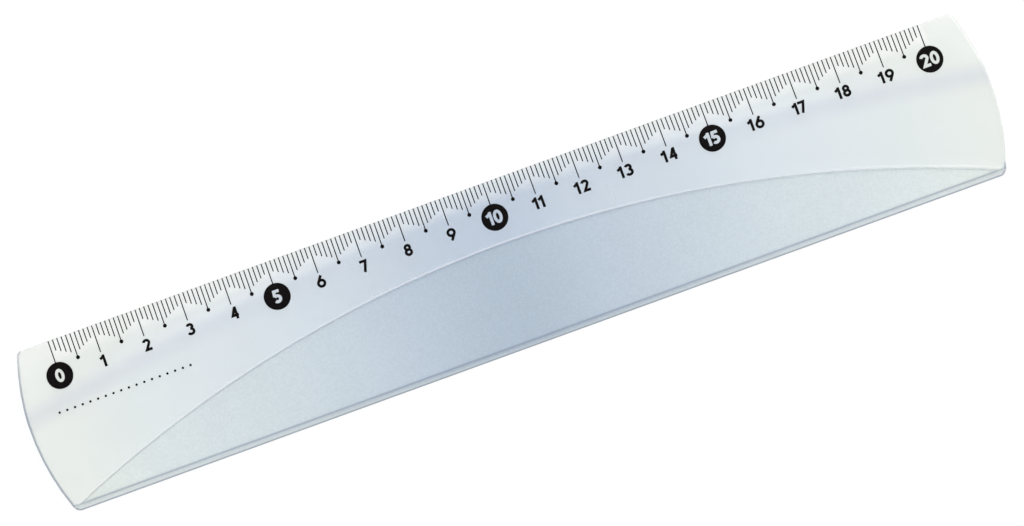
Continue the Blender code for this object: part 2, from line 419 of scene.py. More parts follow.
POLISHED = 0.08
FROSTED = 0.5
PLASTIC_IOR = 1.5
SEE_THROUGH = 0.7
LIGHT_LET_THROUGH = "#F4F6F8"

# The places of a Mix node's sockets where it mixes colours
MIX_FACTOR, MIX_FIRST, MIX_SECOND = 0, 6, 7
MIX_RESULT = 2


def linear(hex_colour):
    """A colour written as sRGB hex, as the linear colour that a node takes."""
    channels = [int(hex_colour[start : start + 2], 16) / 255 for start in (1, 3, 5)]
    return [c / 12.92 if c <= 0.04045 else ((c + 0.055) / 1.055) ** 2.4 for c in channels] + [1]


def add_node(tree, kind, *values, output=0, named=None, **settings):
    """Adds a node with its settings, sets or links its inputs in order or by name, and gives one output."""
    node = tree.nodes.new(kind)
    for name, value in settings.items():
        setattr(node, name, value)
    for key, value in (dict(enumerate(values)) | (named or {})).items():
        if isinstance(value, bpy.types.NodeSocket):
            tree.links.new(value, node.inputs[key])
        else:
            node.inputs[key].default_value = value
    return node.outputs[output] if node.outputs else None


def new_material(name):
    """A material with an empty node tree, and that tree."""
    material = bpy.data.materials.new(name)
    material.use_nodes = True
    material.node_tree.nodes.clear()
    return material, material.node_tree


def set_stops(ramp, stops):
    """Gives a colour ramp these (position, linear colour) stops."""
    while len(ramp.elements) < len(stops):
        ramp.elements.new(1)
    for element, (position, colour) in zip(ramp.elements, stops):
        element.position = position
        element.color = colour


def moulded_clear_vinyl():
    """Soft clear vinyl with a blue-grey tint, moulded, with the polish of the mould and a frosted grip.

    It looks bluer where it is thicker and towards the ruler's middle, and the grip looks deeper and finely
    grained. Painted shade and painted highlights run along the crease, the grip's border, the back edge, the
    scale edge and the ends.
    """
    material, tree = new_material("moulded_clear_vinyl")

    def soft_line(distance, line, strength):
        """A line of painted shade or highlight at this distance from an edge or fold, that fades to nothing
        on both sides.
        """
        middle, half_width = line
        off = add_node(tree, "ShaderNodeMath", distance, middle, operation="SUBTRACT")
        off = add_node(tree, "ShaderNodeMath", off, operation="ABSOLUTE")
        run = (0, half_width, 1, 0)
        share = add_node(tree, "ShaderNodeMapRange", off, *run, interpolation_type="SMOOTHSTEP")
        return add_node(tree, "ShaderNodeMath", share, strength, operation="MULTIPLY")

    def inside_arc(radius, inset):
        """How far a point lies inside an arc whose crown is this far in from the scale edge."""
        centre = (0, EDGE_Y - inset - radius, 0)
        out = add_node(tree, "ShaderNodeVectorMath", place, centre, output="Value", operation="DISTANCE")
        return add_node(tree, "ShaderNodeMath", radius, out, operation="SUBTRACT")

    place = add_node(tree, "ShaderNodeAttribute", attribute_name="place", output="Vector")
    along = add_node(tree, "ShaderNodeSeparateXYZ", place, output="X")
    across = add_node(tree, "ShaderNodeSeparateXYZ", place, output="Y")
    from_middle = add_node(tree, "ShaderNodeMath", along, operation="ABSOLUTE")
    from_back = add_node(tree, "ShaderNodeMath", across, EDGE_Y, operation="ADD")
    from_scale_edge = add_node(tree, "ShaderNodeMath", EDGE_Y, across, operation="SUBTRACT")
    from_zero_end = add_node(tree, "ShaderNodeAttribute", attribute_name="from_zero_end", output="Fac")
    from_twenty_end = add_node(tree, "ShaderNodeAttribute", attribute_name="from_twenty_end", output="Fac")
    past_crease = inside_arc(CREASE_RADIUS, CREASE_INSET)
    inside_grip = inside_arc(BORDER_RADIUS, BORDER_INSET)
    step_run = (0, BORDER_STEP_RUN, 0, 1)
    frosted = add_node(tree, "ShaderNodeMapRange", inside_grip, *step_run, interpolation_type="SMOOTHSTEP")

    depth = add_node(tree, "ShaderNodeMapRange", along, LOW.x, HIGH.x, 0, 1)
    depth = add_node(tree, "ShaderNodeValToRGB", depth)
    depth.node.color_ramp.interpolation = "B_SPLINE"
    set_stops(depth.node.color_ramp, [(position, (grey, grey, grey, 1)) for position, grey in DARKENING_ALONG])
    thickness = add_node(tree, "ShaderNodeAttribute", attribute_name="plastic_depth", output="Fac")
    depth = add_node(tree, "ShaderNodeMath", depth, thickness, operation="MULTIPLY")
    deepened = add_node(tree, "ShaderNodeMapRange", frosted, 0, 1, 1 / DEEPEST, FROST_DEEPENS / DEEPEST)
    depth = add_node(tree, "ShaderNodeMath", depth, deepened, operation="MULTIPLY")
    colour = add_node(tree, "ShaderNodeValToRGB", depth)
    set_stops(colour.node.color_ramp, [(position / DEEPEST, linear(tint)) for position, tint in TINT])

    noise = {"Vector": place, "Scale": 1 / GRAIN_SIZE, "Detail": GRAIN_DETAIL}
    grain = add_node(tree, "ShaderNodeTexNoise", named=noise)
    grain_shade = add_node(tree, "ShaderNodeMapRange", grain, *GRAIN_RANGE, -GRAIN_SHADE, GRAIN_SHADE)
    grain_shade = add_node(tree, "ShaderNodeMath", grain_shade, frosted, operation="MULTIPLY")
    noise = {"Vector": place, "Scale": 1 / FLOW_SIZE, "Detail": FLOW_DETAIL}
    flow = add_node(tree, "ShaderNodeTexNoise", named=noise)
    bright = add_node(tree, "ShaderNodeMapRange", flow, *FLOW_RANGE, 1 + FLOW_SHADE, 1 - FLOW_SHADE)
    bright = add_node(tree, "ShaderNodeMath", bright, grain_shade, operation="SUBTRACT")
    bright = add_node(tree, "ShaderNodeCombineColor", bright, bright, bright)

    # Painted shade: a soft band past the crease, deepest towards the ends
    crease_shade = add_node(tree, "ShaderNodeMapRange", from_middle, *CREASE_BAND_SHADE)
    crease_shade = soft_line(past_crease, CREASE_SHADE_LINE, crease_shade)
    # Painted light, paler and bluer, on the leaning back face towards the ends, and a little painted shade
    # on it towards the middle
    back_face = add_node(tree, "ShaderNodeMapRange", from_back, *BACK_FACE_ACROSS)
    back_face_light = add_node(tree, "ShaderNodeMapRange", from_middle, *BACK_FACE_PAINTED_LIGHT)
    back_face_light = add_node(tree, "ShaderNodeMath", back_face_light, back_face, operation="MULTIPLY")
    back_face_shade = add_node(tree, "ShaderNodeMapRange", from_middle, *BACK_FACE_SHADE)
    # Painted shade: dark lines along the grip's border, the back arris, the back outline, the zero end and
    # the twenty end's back corner
    zero_end_shade = add_node(tree, "ShaderNodeMapRange", from_scale_edge, *ZERO_END_SHADE)
    twenty_end_shade = add_node(tree, "ShaderNodeMapRange", from_back, *TWENTY_END_SHADE)
    border_shade = add_node(tree, "ShaderNodeMapRange", from_middle, *BORDER_SHADE)
    shade = soft_line(inside_grip, BORDER_LINE, border_shade)
    for line in (
        add_node(tree, "ShaderNodeMath", back_face, back_face_shade, operation="MULTIPLY"),
        soft_line(from_back, BACK_ARRIS_LINE, BACK_ARRIS_SHADE),
        soft_line(from_back, BACK_OUTLINE_LINE, BACK_OUTLINE_SHADE),
        soft_line(from_zero_end, END_OUTLINE_LINE, zero_end_shade),
        soft_line(from_twenty_end, END_OUTLINE_LINE, twenty_end_shade),
    ):
        shade = add_node(tree, "ShaderNodeMath", shade, line, operation="MAXIMUM")

    # Painted highlights: before the crease, along the bead, along the scale edge and the twenty end, and a
    # painted glow among the marks
    crease_gleam = add_node(tree, "ShaderNodeMapRange", from_middle, *CREASE_GLEAM)
    bead_gleam = add_node(tree, "ShaderNodeMapRange", from_middle, *BEAD_GLEAM)
    gleam = add_node(tree, "ShaderNodeMapRange", from_middle, *MARKS_GLEAM)
    for distance, run in ((from_scale_edge, MARKS_GLEAM_ACROSS), (from_middle, MARKS_GLEAM_ALONG)):
        share = add_node(tree, "ShaderNodeMapRange", distance, *run, interpolation_type="SMOOTHSTEP")
        gleam = add_node(tree, "ShaderNodeMath", gleam, share, operation="MULTIPLY")
    for line in (
        soft_line(past_crease, CREASE_GLEAM_LINE, crease_gleam),
        soft_line(inside_grip, BEAD_LINE, bead_gleam),
        soft_line(from_scale_edge, LIT_EDGE_LINE, SCALE_EDGE_GLEAM),
        soft_line(from_twenty_end, LIT_EDGE_LINE, TWENTY_END_GLEAM),
    ):
        gleam = add_node(tree, "ShaderNodeMath", gleam, line, operation="MAXIMUM")

    # The frost, grain and flow go onto the colour, then the painted shade past the crease, the painted light
    # on the back face, the painted highlights and the painted shade
    for blend_type, factor, other in (
        ("MULTIPLY", frosted, linear(FROST_TINT)),
        ("MULTIPLY", 1, bright),
        ("MIX", crease_shade, linear(CREASE_SHADE_COLOUR)),
        ("MIX", back_face_light, linear(BACK_FACE_LIGHT_COLOUR)),
        ("MIX", gleam, linear(PAINTED_HIGHLIGHT_COLOUR)),
        ("MIX", shade, linear(PAINTED_SHADE_COLOUR)),
    ):
        inputs = {MIX_FACTOR: factor, MIX_FIRST: colour, MIX_SECOND: other}
        settings = {"data_type": "RGBA", "blend_type": blend_type}
        colour = add_node(tree, "ShaderNodeMix", named=inputs, output=MIX_RESULT, **settings)
    height = add_node(tree, "ShaderNodeMath", grain, frosted, operation="MULTIPLY")
    height = add_node(tree, "ShaderNodeMath", height, GRAIN_HEIGHT, operation="MULTIPLY")
    finish = {
        "Base Color": colour,
        "Roughness": add_node(tree, "ShaderNodeMapRange", frosted, 0, 1, POLISHED, FROSTED),
        "Normal": add_node(tree, "ShaderNodeBump", named={"Height": height, "Distance": 1, "Strength": 1}),
        "IOR": PLASTIC_IOR,
        "Transmission Weight": SEE_THROUGH,
    }
    shader = add_node(tree, "ShaderNodeBsdfPrincipled", named=finish)
    to_lamp = add_node(tree, "ShaderNodeLightPath", output="Is Shadow Ray")
    passing = add_node(tree, "ShaderNodeBsdfTransparent", linear(LIGHT_LET_THROUGH))
    mixed = add_node(tree, "ShaderNodeMixShader", to_lamp, shader, passing)
    add_node(tree, "ShaderNodeOutputMaterial", mixed)
    return material


def open_seam():
    """Where two stretches meet the plastic runs on unbroken, so their cut faces can't be seen."""
    material, tree = new_material("open_seam")
    add_node(tree, "ShaderNodeOutputMaterial", add_node(tree, "ShaderNodeBsdfTransparent"))
    return material


# Every stretch is named after the centimetre of the scale that its hinge is nearest to
CENTIMETRE = 10 * MM
HALF_SCALE = 10 * CENTIMETRE
strip_materials = (moulded_clear_vinyl(), open_seam())
spans = sorted(frame["nodes"], key=lambda name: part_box(name)[0].x)
hinges = sorted(joint["pos_m"][0] for joint in frame["joints"])
seams = [LOW.x] + [(a + b) / 2 for a, b in zip(hinges, hinges[1:])] + [HIGH.x]
stretches = []
for index, hinge in enumerate(hinges):
    start, end = seams[index], seams[index + 1]
    first, last = index == 0, index == len(hinges) - 1
    if first or last:
        seam, side = (end, -1) if first else (start, 1)
        shares = [step / COLUMNS_AT_AN_END for step in range(COLUMNS_AT_AN_END)]
        columns = [end_column(seam, side, share) for share in shares]
        columns += [rim_column(side, inset) for inset in RIM_STEPS]
        columns = columns[::-1] if first else columns
        seam_columns = (len(columns) - 1,) if first else (0,)
    else:
        step_x = (end - start) / COLUMNS_A_STRETCH
        columns = [straight_column(start + step_x * step) for step in range(COLUMNS_A_STRETCH + 1)]
        seam_columns = (0, len(columns) - 1)
    name = f"strip_at_{round((hinge + HALF_SCALE) / CENTIMETRE)}cm"
    stretch = strip_stretch(name, columns, seam_columns)
    for material in strip_materials:
        stretch.data.materials.append(material)
    stretches.append(stretch)

# The printing bed: the whole top face as one mesh, which the ink is laid on. It is only a helper, and is
# removed once the ink is on.
bed_shape = bmesh.new()
for stretch in stretches:
    bed_shape.from_mesh(stretch.data)
bed = add_to_scene("printing_bed", mesh_of("printing_bed", bed_shape))


def bend_with(piece):
    """Bakes a piece's placement into its points."""
    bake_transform(piece)


middle_span = len(spans) // 2
for index, stretch in enumerate(stretches):
    bend_with(stretch)
    outer = spans[index] if index < middle_span else spans[index + 1]
    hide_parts(outer)
    if index == middle_span:
        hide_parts(spans[middle_span])

# The scale's marks: black ink, pad printed a few hundredths of a millimetre thick. There is one at each
# millimetre, the lengths rise and fall within each centimetre, and the half centimetres run to a dot.
SCALE_ZERO_X = -100.24 * MM
LAST_MARK = 200
MARK_SPACING = 1.0 * MM
MARK_WIDTH = 0.24 * MM
MARK_START_INSET = 0.03 * MM
SHORTEST_MARK = 2.54 * MM
MARK_GROWTH = 0.5 * MM
CENTIMETRE_MARK = 6.14 * MM
BADGE_MARK = 5.04 * MM
HALF_DOT_INSET = 5.54 * MM
HALF_DOT_DIAMETER = 0.87 * MM
INK_THICKNESS = 0.04 * MM

MARKS_A_HALF = 5
MARKS_A_CENTIMETRE = 10
MARKS_A_BADGE = 50
NEAR_ENOUGH = 0.1
POINTS_ALONG_A_MARK = 17
HALF_DOT_SIDES = 20

INK_TONES = ((0.3, "#080707"), (0.7, "#110E0E"))
INK_ROUGHNESS = 0.6
INK_IOR = 1.5
INK_GLOSS = 0.04
MOTTLE_SIZE = 0.8 * MM
MOTTLE_DETAIL = 3

# Flat artwork is dropped onto the ruler from well above it
DROP_HEIGHT = 10 * THICKNESS
DOWN = Vector((0, 0, -1))


def pad_printed_ink():
    """Black solvent ink, pad printed: opaque and matt, with the faint unevenness that the pad leaves."""
    material, tree = new_material("pad_printed_ink")
    place = add_node(tree, "ShaderNodeAttribute", attribute_name="place", output="Vector")
    noise = {"Vector": place, "Scale": 1 / MOTTLE_SIZE, "Detail": MOTTLE_DETAIL}
    colour = add_node(tree, "ShaderNodeValToRGB", add_node(tree, "ShaderNodeTexNoise", named=noise))
    set_stops(colour.node.color_ramp, [(position, linear(tone)) for position, tone in INK_TONES])
    finish = {
        "Base Color": colour,
        "Roughness": INK_ROUGHNESS,
        "IOR": INK_IOR,
        "Specular IOR Level": INK_GLOSS,
    }
    add_node(tree, "ShaderNodeOutputMaterial", add_node(tree, "ShaderNodeBsdfPrincipled", named=finish))
    return material


ink = pad_printed_ink()


def new_geometry_tree(name, inputs):
    """A Geometry Nodes tree with a named input for each of these values, and the inputs' sockets."""
    tree = bpy.data.node_groups.new(name, "GeometryNodeTree")
    for input_name, value in inputs.items():
        if isinstance(value, bpy.types.Object):
            socket_type = "NodeSocketObject"
        elif isinstance(value, bpy.types.Material):
            socket_type = "NodeSocketMaterial"
        else:
            socket_type = "NodeSocketInt" if isinstance(value, int) else "NodeSocketFloat"
        tree.interface.new_socket(input_name, in_out="INPUT", socket_type=socket_type)
    tree.interface.new_socket("Geometry", in_out="OUTPUT", socket_type="NodeSocketGeometry")
    return tree, add_node(tree, "NodeGroupInput").node.outputs


def lay_on_bed(tree, geometry, given):
    """Nodes that drop flat artwork straight down onto the ruler's top face, in ink."""
    place = add_node(tree, "GeometryNodeInputPosition")
    x, y, z = add_node(tree, "ShaderNodeSeparateXYZ", place).node.outputs
    above = add_node(tree, "ShaderNodeCombineXYZ", x, y, DROP_HEIGHT)
    bed_surface = add_node(tree, "GeometryNodeObjectInfo", given["Printing Bed"], output="Geometry")
    drop = {"Target Geometry": bed_surface, "Source Position": above, "Ray Direction": DOWN}
    hit = add_node(tree, "GeometryNodeRaycast", named=drop, output="Hit Position")
    hit_z = add_node(tree, "ShaderNodeSeparateXYZ", hit, output="Z")
    height = add_node(tree, "ShaderNodeMath", hit_z, z, operation="ADD")
    landed = add_node(tree, "ShaderNodeCombineXYZ", x, y, height)
    laid = add_node(tree, "GeometryNodeSetPosition", geometry, named={"Position": landed})
    inked = add_node(tree, "GeometryNodeSetMaterial", laid, named={"Material": given["Ink"]})
    add_node(tree, "NodeGroupOutput", inked)


def scale_marks_tree(inputs):
    """The marks from the first to the last, each a thin bar of ink, with a dot at every half centimetre."""
    tree, given = new_geometry_tree("scale_marks", inputs)
    count = add_node(tree, "ShaderNodeMath", given["Last Mark"], given["First Mark"], operation="SUBTRACT")
    count = add_node(tree, "ShaderNodeMath", count, 1, operation="ADD")
    row = {"Count": count, "Offset": (0, 0, 0)}
    points = add_node(tree, "GeometryNodeMeshLine", named=row, mode="OFFSET", count_mode="TOTAL")
    index = add_node(tree, "GeometryNodeInputIndex")
    number = add_node(tree, "ShaderNodeMath", index, given["First Mark"], operation="ADD")
    x = add_node(tree, "ShaderNodeMath", number, given["Mark Spacing"], operation="MULTIPLY")
    x = add_node(tree, "ShaderNodeMath", x, given["Scale Zero X"], operation="ADD")

    place_in_cm = add_node(tree, "ShaderNodeMath", number, MARKS_A_CENTIMETRE, operation="MODULO")
    place_in_badge = add_node(tree, "ShaderNodeMath", number, MARKS_A_BADGE, operation="MODULO")
    to_next_cm = add_node(tree, "ShaderNodeMath", MARKS_A_CENTIMETRE, place_in_cm, operation="SUBTRACT")
    nearness = add_node(tree, "ShaderNodeMath", place_in_cm, to_next_cm, operation="MINIMUM")
    nearness = add_node(tree, "ShaderNodeMath", nearness, 1, operation="SUBTRACT")
    length = add_node(tree, "ShaderNodeMath", nearness, given["Mark Growth"], operation="MULTIPLY")
    length = add_node(tree, "ShaderNodeMath", length, given["Shortest Mark"], operation="ADD")
    matches = []
    for place, kind, kind_length in (
        (place_in_cm, MARKS_A_HALF, given["Half Dot Inset"]),
        (place_in_cm, 0, given["Centimetre Mark"]),
        (place_in_badge, 0, given["Badge Mark"]),
    ):
        near = {0: place, 1: kind, "Epsilon": NEAR_ENOUGH}
        is_kind = add_node(tree, "FunctionNodeCompare", named=near, data_type="FLOAT", operation="EQUAL")
        either = {"Switch": is_kind, "False": length, "True": kind_length}
        length = add_node(tree, "GeometryNodeSwitch", named=either, input_type="FLOAT")
        matches.append(is_kind)
    is_half = matches[0]

    ends = add_node(tree, "ShaderNodeMath", length, given["Mark Start Inset"], operation="ADD")
    bar_middle = add_node(tree, "ShaderNodeMath", ends, 0.5, operation="MULTIPLY")
    bar_y = add_node(tree, "ShaderNodeMath", given["Scale Edge Y"], bar_middle, operation="SUBTRACT")
    bar_length = add_node(tree, "ShaderNodeMath", length, given["Mark Start Inset"], operation="SUBTRACT")
    bar_place = add_node(tree, "ShaderNodeCombineXYZ", x, bar_y)
    bar_points = add_node(tree, "GeometryNodeSetPosition", points, named={"Position": bar_place})
    sides = {"Size": (1, 1, 1), "Vertices X": 2, "Vertices Y": POINTS_ALONG_A_MARK, "Vertices Z": 2}
    bar = add_node(tree, "GeometryNodeMeshCube", named=sides)
    thick = given["Ink Thickness"]
    bar_size = add_node(tree, "ShaderNodeCombineXYZ", given["Mark Width"], bar_length, thick)
    placed = {"Points": bar_points, "Instance": bar, "Scale": bar_size}
    bars = add_node(tree, "GeometryNodeInstanceOnPoints", named=placed)

    dot_inset = given["Half Dot Inset"]
    dot_y = add_node(tree, "ShaderNodeMath", given["Scale Edge Y"], dot_inset, operation="SUBTRACT")
    dot_place = add_node(tree, "ShaderNodeCombineXYZ", x, dot_y)
    dot_points = add_node(tree, "GeometryNodeSetPosition", points, named={"Position": dot_place})
    radius = add_node(tree, "ShaderNodeMath", given["Half Dot Diameter"], 0.5, operation="MULTIPLY")
    round_dot = {"Vertices": HALF_DOT_SIDES, "Radius": radius, "Depth": thick}
    dot = add_node(tree, "GeometryNodeMeshCylinder", named=round_dot)
    placed = {"Points": dot_points, "Selection": is_half, "Instance": dot}
    dots = add_node(tree, "GeometryNodeInstanceOnPoints", named=placed)
    both = add_node(tree, "GeometryNodeJoinGeometry", bars)
    tree.links.new(dots, both.node.inputs[0])
    lay_on_bed(tree, add_node(tree, "GeometryNodeRealizeInstances", both), given)
    return tree


def made_by_tree(name, tree, inputs):
    """A plain mesh object that the tree makes from these input values."""
    made = add_to_scene(name, bpy.data.meshes.new(name))
    modifier = made.modifiers.new(tree.name, "NODES")
    modifier.node_group = tree
    for item in tree.interface.items_tree:
        if item.in_out == "INPUT":
            modifier[item.identifier] = inputs[item.name]
    bpy.context.view_layer.update()
    evaluated = made.evaluated_get(bpy.context.evaluated_depsgraph_get())
    mesh = bpy.data.meshes.new_from_object(evaluated)
    made.modifiers.clear()
    made.data = mesh
    mesh.name = name
    keep_place(mesh)
    return made


def lies_on(x, index):
    """Whether this place along the ruler lies on this stretch."""
    return seams[index] <= x < seams[index + 1]


def print_on(piece):
    """Bakes a piece of the printing into place. It is too thin to throw a shadow."""
    piece.visible_shadow = False
    bend_with(piece)


all_marks = {
    "First Mark": 0,
    "Last Mark": LAST_MARK,
    "Mark Spacing": MARK_SPACING,
    "Mark Width": MARK_WIDTH,
    "Mark Start Inset": MARK_START_INSET,
    "Shortest Mark": SHORTEST_MARK,
    "Mark Growth": MARK_GROWTH,
    "Centimetre Mark": CENTIMETRE_MARK,
    "Badge Mark": BADGE_MARK,
    "Half Dot Inset": HALF_DOT_INSET,
    "Half Dot Diameter": HALF_DOT_DIAMETER,
    "Ink Thickness": INK_THICKNESS,
    "Scale Zero X": SCALE_ZERO_X,
    "Scale Edge Y": EDGE_Y,
    "Printing Bed": bed,
    "Ink": ink,
}
marks_tree = scale_marks_tree(all_marks)
for index, stretch in enumerate(stretches):
    here = [mark for mark in range(LAST_MARK + 1) if lies_on(SCALE_ZERO_X + mark * MARK_SPACING, index)]
    marks_here = all_marks | {"First Mark": here[0], "Last Mark": here[-1]}
    marks = made_by_tree(stretch.name.replace("strip", "marks"), marks_tree, marks_here)
    print_on(marks)

# The numbers: the same ink, in a bold geometric figure with square-cut strokes. Every fifth stands out in
# the clear of a round black badge. Their artwork is drawn flat as pen strokes, joined, and laid on the top
# face.
LAST_NUMBER = 20
NUMBERS_A_BADGE = 5
NUMBER_HEIGHT = 2.68 * MM
NUMBER_PEN = 0.6 * MM
NUMBER_INSET = 8.14 * MM
NUMBER_GAP = 0.4 * MM
BADGE_DIAMETER = 5.88 * MM
BADGE_INSET = 7.9 * MM
BADGE_NUMBER_HEIGHT = 2.95 * MM
BADGE_NUMBER_PEN = 0.65 * MM
BADGE_NUMBER_GAP = 0.22 * MM
ARTWORK_GRID = 0.6 * MM
# In degrees: how finely a round stroke is drawn, and how far the two strokes of a ring overlap
ARC_STEP = 10
RING_OVERLAP = 5


def swing(x, y, radius_x, radius_y, start, end):
    """Points along a round pen stroke about a centre, from one angle to another in degrees."""
    steps = max(2, round(abs(end - start) / ARC_STEP))
    angles = [math.radians(start + (end - start) * step / steps) for step in range(steps + 1)]
    return [(x + radius_x * math.cos(angle), y + radius_y * math.sin(angle)) for angle in angles]


def ring(x, y, radius_x, radius_y):
    """A closed round, as two strokes that overlap."""
    right = swing(x, y, radius_x, radius_y, -90 - RING_OVERLAP, 90 + RING_OVERLAP)
    left = swing(x, y, radius_x, radius_y, 90 - RING_OVERLAP, 270 + RING_OVERLAP)
    return [right, left]


# Each figure's strokes, along the middle of the pen, in shares of its height, for a pen of two ninths of it
FIGURE_SHARES = {
    "0": ring(0, 0.5, 0.2225, 0.389),
    "1": [[(0, 0), (0, 1)], [(-0.313, 0.69), (0.03, 0.875)]],
    "2": [swing(0, 0.69, 0.225, 0.2, 165, -36) + [(-0.12, 0.111), (0.35, 0.111)]],
    "3": [swing(-0.01, 0.712, 0.21, 0.177, 158, -90), swing(-0.01, 0.323, 0.245, 0.212, 90, -158)],
    "4": [[(0.19, 0), (0.19, 1.01)], [(0.36, 0.315), (-0.155, 0.315), (0.165, 0.94)]],
    "5": [[(0.27, 0.889), (-0.12, 0.889), (-0.17, 0.5)], swing(-0.01, 0.33, 0.23, 0.219, 135, -140)],
    "6": ring(0, 0.364, 0.265, 0.253) + [[(-0.222, 0.5), (0.125, 1.0)]],
    "7": [[(-0.31, 0.889), (0.2, 0.889), (-0.09, 0.0)]],
    "8": ring(0, 0.7075, 0.19, 0.1815) + ring(0, 0.3185, 0.225, 0.2075),
    "9": ring(0, 0.636, 0.265, 0.253) + [[(0.222, 0.5), (-0.125, 0.0)]],
}
# A 1 and a 7 tuck in closer to the 1 before them, and a number that begins with a 1 stands a little left
TUCKED_IN = {"11": 0.27 * MM, "17": 0.22 * MM}
LEADING_ONE_SHIFT = 0.12 * MM
# How the artwork is filled: over the whole of it, and with points this close, in millimetres, taken as one
FILL_ALL = 0
FILL_TOLERANCE = 1e-5


def pen_outline(points, pen):
    """The outline of a pen stroke with square-cut ends and mitred corners."""
    places = [Vector(point) for point in points]
    left, right = [], []
    for number, place in enumerate(places):
        before = places[number] - places[number - 1] if number else places[1] - places[0]
        after = places[number + 1] - place if number + 1 < len(places) else before
        across_before = before.orthogonal().normalized()
        across_after = after.orthogonal().normalized()
        mitre = (across_before + across_after).normalized()
        mitre *= pen / 2 / mitre.dot(across_before)
        left.append(place + mitre)
        right.append(place - mitre)
    return right + left[::-1]


def number_outlines(number, height, pen, gap, centre):
    """The pen outlines of a number, one figure after another, centred on this place."""
    figures, reach = [], 0
    gap -= TUCKED_IN.get(str(number), 0)
    for figure in str(number):
        outlines = []
        for stroke in FIGURE_SHARES[figure]:
            outlines.append(pen_outline([(x * height, y * height) for x, y in stroke], pen))
        low = min(point.x for outline in outlines for point in outline)
        high = max(point.x for outline in outlines for point in outline)
        shift = Vector((reach - low, 0))
        figures += [[point + shift for point in outline] for outline in outlines]
        reach += high - low + gap
    if str(number).startswith("1"):
        reach += 2 * LEADING_ONE_SHIFT
    to_centre = centre - Vector(((reach - gap) / 2, height / 2))
    return [[point + to_centre for point in outline] for outline in figures]


def grid_cuts(low, high):
    """Where the artwork is cut between these two, so that it can follow the top face."""
    return [low + ARTWORK_GRID * (step + 0.5) for step in range(int((high - low) / ARTWORK_GRID))]


def inked_triangles(outlines, is_ink):
    """Triangles that fill overlapping outlines, cut along a fine grid and at every seam.

    is_ink says whether a triangle is ink, from the set of the outlines that it lies in, by their numbers.
    """
    places = [point for outline in outlines for point in outline]
    faces, start = [], 0
    for outline in outlines:
        faces.append(list(range(start, start + len(outline))))
        start += len(outline)
    low = Vector((min(p.x for p in places), min(p.y for p in places)))
    high = Vector((max(p.x for p in places), max(p.y for p in places)))
    lines = []
    for x in [seam for seam in seams if low.x < seam < high.x] + grid_cuts(low.x, high.x):
        lines.append((Vector((x, low.y)), Vector((x, high.y))))
    for y in grid_cuts(low.y, high.y):
        lines.append((Vector((low.x, y)), Vector((high.x, y))))
    edges = []
    for line in lines:
        edges.append((len(places), len(places) + 1))
        places += line
    in_mm = [place / MM for place in places]
    filled = delaunay_2d_cdt(in_mm, edges, faces, FILL_ALL, FILL_TOLERANCE)
    corners, triangles, sources = filled[0], filled[2], filled[5]
    kept = [triangle for triangle, lies_in in zip(triangles, sources) if is_ink(set(lies_in))]
    return [[corners[corner] * MM for corner in triangle] for triangle in kept]


artwork = []
for number in range(LAST_NUMBER + 1):
    x = SCALE_ZERO_X + number * CENTIMETRE
    if number % NUMBERS_A_BADGE:
        centre = Vector((x, EDGE_Y - NUMBER_INSET))
        outlines = number_outlines(number, NUMBER_HEIGHT, NUMBER_PEN, NUMBER_GAP, centre)
        artwork += inked_triangles(outlines, bool)
    else:
        centre = Vector((x, EDGE_Y - BADGE_INSET))
        rim = swing(0, 0, BADGE_DIAMETER / 2, BADGE_DIAMETER / 2, 0, 360 - ARC_STEP)
        disc = [centre + Vector(point) for point in rim]
        outlines = number_outlines(number, BADGE_NUMBER_HEIGHT, BADGE_NUMBER_PEN, BADGE_NUMBER_GAP, centre)
        artwork += inked_triangles([disc] + outlines, lambda lies_in: lies_in == {0})

bed_tree = BVHTree.FromObject(bed, bpy.context.evaluated_depsgraph_get())


def bed_height(place):
    """The height of the top face under this place."""
    return bed_tree.ray_cast(Vector((place.x, place.y, DROP_HEIGHT)), DOWN)[0].z


for index, stretch in enumerate(stretches):
    shape = bmesh.new()
    corners, edges = {}, []
    for triangle in artwork:
        if not lies_on(sum(corner.x for corner in triangle) / 3, index):
            continue
        keys = [(round(corner.x / WELD_DISTANCE), round(corner.y / WELD_DISTANCE)) for corner in triangle]
        for key, corner in zip(keys, triangle):
            if key not in corners:
                sunk = shape.verts.new((corner.x, corner.y, bed_height(corner) - INK_THICKNESS / 2))
                corners[key] = (sunk, shape.verts.new(sunk.co + Vector((0, 0, INK_THICKNESS))))
        if len(set(keys)) == 3:
            shape.faces.new([corners[key][0] for key in reversed(keys)])
            shape.faces.new([corners[key][1] for key in keys])
            edges += zip(keys, keys[1:] + keys[:1])
    if not shape.faces:
        shape.free()
        continue
    # An edge that no triangle runs along the other way is on the rim, and gets a wall
    both_ways = set(edges)
    for start, end in edges:
        if (end, start) not in both_ways:
            wall = (corners[start][0], corners[end][0], corners[end][1], corners[start][1])
            shape.faces.new(wall)
    name = stretch.name.replace("strip", "numbers")
    mesh = mesh_of(name, shape)
    mesh.materials.append(ink)
    keep_place(mesh)
    print_on(add_to_scene(name, mesh))

# The writing line: a row of small dots of the same ink, printed with the scale, above the place where an
# owner can write.
LINE_DOTS = 18
LINE_DOT_SPACING = 1.769 * MM
LINE_DOT_DIAMETER = 0.55 * MM
LINE_DOT_SIDES = 16
LINE_START_X = SCALE_ZERO_X - 2.73 * MM
LINE_INSET = 15.44 * MM


